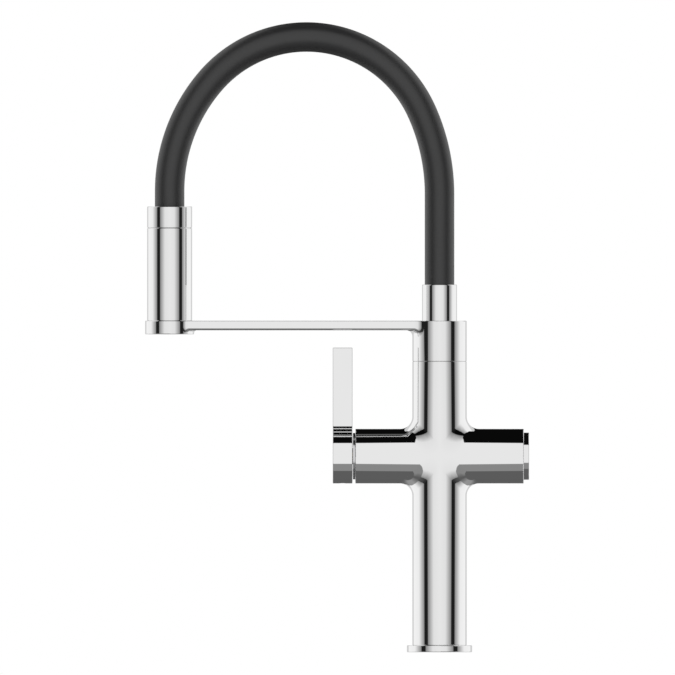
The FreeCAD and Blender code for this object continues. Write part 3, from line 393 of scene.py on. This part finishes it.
wall = cloth((0, 230), (24, 224), (36, 185), (49.5, 132), (51, 8), (66.5, 8), (68, 135), (82, 190), (90, 217),
             (98, 236), (138, 242), (146, 205), (180, 198))
foot = cloth((0, 134), (33, 131), (52, 92), (60, 88), (86, 138), (95, 147), (140, 143), (172, 95), (180, 90))
wall_top = hem((0, 57.5), (22, 53.5), (36, 51.5), (59, 46), (90, 57), (138, 61), (160, 57.5), (166, 50),
               (170, 16), (180, 0))
wall_foot = hem((0, 32.6), (22, 29.5), (38, 29), (90, 36.5), (136, 34.5), (168, 24), (180, 0))
floor_edge = hem((0, 65.5), (30, 60), (50, 60), (107, 65.5), (180, 66))
lower = blend_greys(past(depression, floor_edge), foot, level(FLOOR_GREY))
sides = blend_greys(past(depression, wall_foot), wall, lower)
tent = blend_greys(past(elevation, wall_top), sides, level(ROOF_GREY))

# Stray light from the floor lifts the dark gaps, and more so lower down.
stray_greys = ((-OVERHEAD, 90), (-40, 90), (-20, 72), (0, 29), (12, 8), (OVERHEAD, 8))
glow = graded(elevation, -OVERHEAD, OVERHEAD, [(degrees, level(grey)) for degrees, grey in stray_greys])
reflected = add_node(room, "ShaderNodeBackground", {"Color": calculate(room, "MAXIMUM", tent, glow)})
plain = add_node(room, "ShaderNodeBackground", {"Color": (1, 1, 1, 1)})
rays = add_node(room, "ShaderNodeLightPath")
chosen = add_node(room, "ShaderNodeMixShader", {
    0: rays.outputs["Is Glossy Ray"], 1: plain.outputs[0], 2: reflected.outputs[0]})
add_node(room, "ShaderNodeOutputWorld", {"Surface": chosen.outputs[0]})

# The worktop: a wide pale painted board under the tap, which fades into the white of the studio further out.
# It is left out of the reflections, because the tent has a floor of its own.
BOARD_REACH = 3
FADE_START = 0.25
FADE_END = 1.5
board = bpy.data.meshes.new("worktop")
board_corners = [(side * BOARD_REACH, depth * BOARD_REACH, 0)
                 for side, depth in ((-1, -1), (1, -1), (1, 1), (-1, 1))]
board.from_pydata(board_corners, [], [(0, 1, 2, 3)])
worktop_paint = finish("worktop_paint", (0.88, 0.88, 0.88), (0.92, 0.92, 0.92), metallic=0,
                       roughness=(0.7, 0.8), grain=300, relief=0.00002)
painted = worktop_paint.node_tree
spot = add_node(painted, "ShaderNodeTexCoord").outputs["Object"]
from_tap = add_node(painted, "ShaderNodeVectorMath", {0: spot}, operation="LENGTH").outputs["Value"]
fade = add_node(painted, "ShaderNodeMapRange", {
    "Value": from_tap, "From Min": FADE_START, "From Max": FADE_END}, interpolation_type="SMOOTHSTEP")
white = add_node(painted, "ShaderNodeEmission", {"Color": (1, 1, 1, 1), "Strength": 1.0})
faded = add_node(painted, "ShaderNodeMixShader", {
    0: fade.outputs["Result"], 1: painted.nodes["Principled BSDF"].outputs[0], 2: white.outputs[0]})
painted.links.new(faded.outputs[0], painted.nodes["Material Output"].inputs["Surface"])
board.materials.append(worktop_paint)
worktop = bpy.data.objects.new("worktop", board)
bpy.context.scene.collection.objects.link(worktop)
worktop.visible_glossy = False

# The camera stands far off and level, square to the crossbar.
# It sees the tap without perspective, in the same frame as the photograph.
FRAME_WIDTH = 0.5022
FRAME_ACROSS = -0.0759
FRAME_HEIGHT = 0.2341
CAMERA_DISTANCE = 3
camera_data = bpy.data.cameras.new("camera")
camera_data.type = "ORTHO"
camera_data.ortho_scale = FRAME_WIDTH
camera = bpy.data.objects.new("camera", camera_data)
camera.location = (FRAME_ACROSS, -CAMERA_DISTANCE, FRAME_HEIGHT)
camera.rotation_euler = (math.radians(90), 0, 0)
bpy.context.scene.collection.objects.link(camera)
bpy.context.scene.camera = camera
bpy.context.scene.view_settings.view_transform = "Standard"
